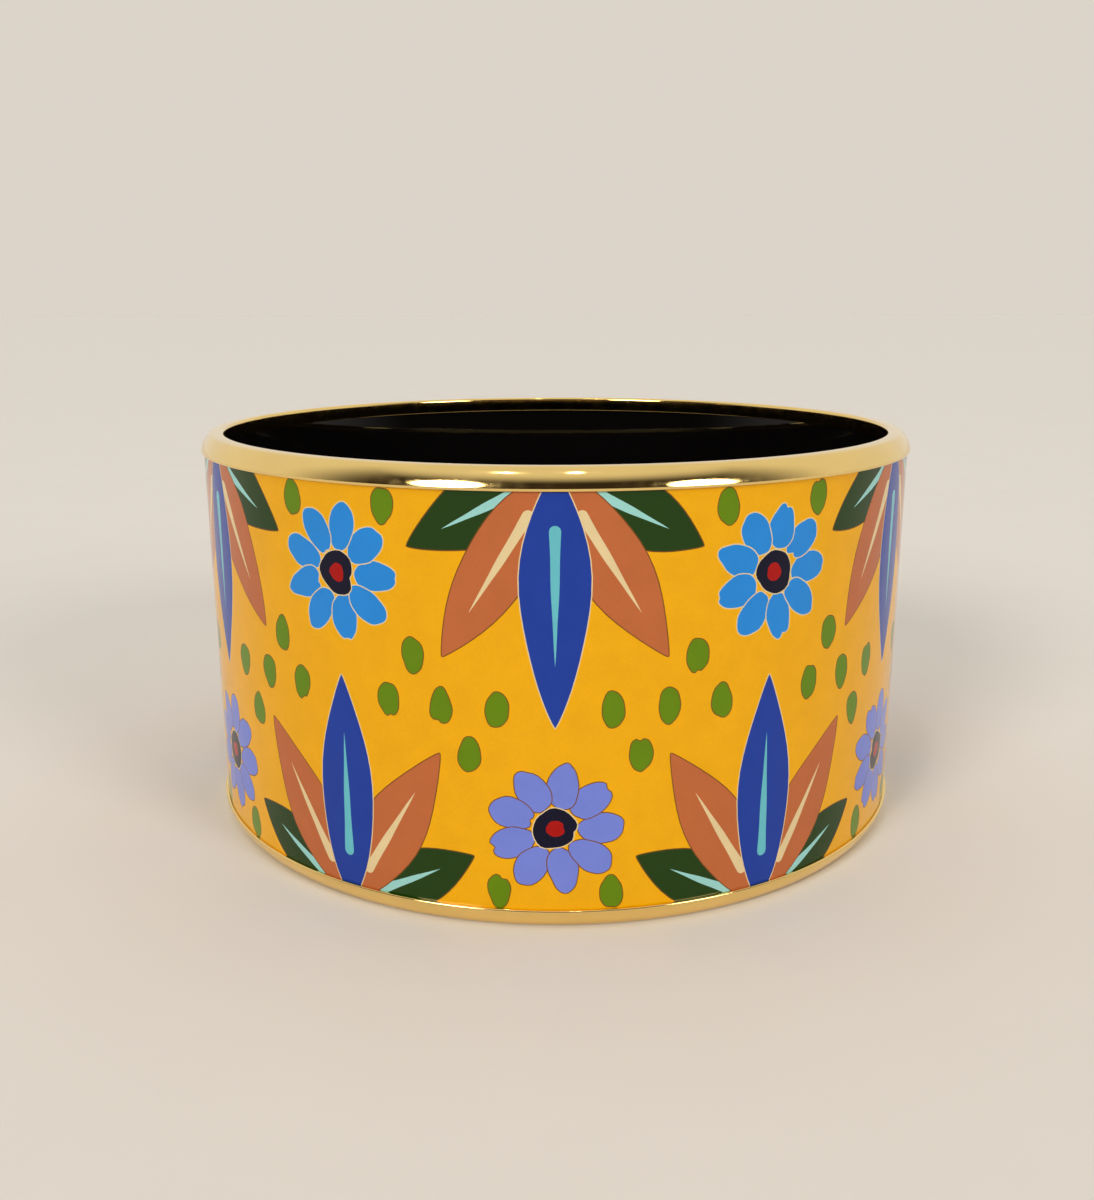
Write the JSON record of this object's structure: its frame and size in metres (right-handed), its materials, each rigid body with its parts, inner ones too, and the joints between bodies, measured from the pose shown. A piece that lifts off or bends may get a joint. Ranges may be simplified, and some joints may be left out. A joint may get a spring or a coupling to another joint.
{
  "type": "bangle bracelet",
  "caption": "Wide rigid slip-on bangle: printed enamel band with a black enamel lining and polished gold-plated channel rims.",
  "frame": {"origin": "centre of the circle that the bangle stands on, on the plane of the lower rim's crest", "axes": "+Z along the bangle's axis from the lower rim to the upper rim; -Y is the side of the printed pattern that faces the viewer"},
  "size_m": [0.0704, 0.0704, 0.038],
  "materials": {
    "gold_plate": "mirror-polished yellow gold plating",
    "painted_enamel": "glossy opaque vitreous enamel, printed in many colours under a clear coat",
    "black_enamel": "glossy opaque black counter-enamel",
    "core_metal": "plain copper-alloy strip, hidden under the enamel",
    "rim_cement": "set jeweller's cement, hidden in the rims"
  },
  "bodies": {
    "root": {"core_band": "core_metal", "outer_enamel": "painted_enamel", "inner_enamel": "black_enamel", "lower_rim": "gold_plate", "upper_rim": "gold_plate", "lower_rim_bedding": "rim_cement", "upper_rim_bedding": "rim_cement"}
  },
  "joints": []
}
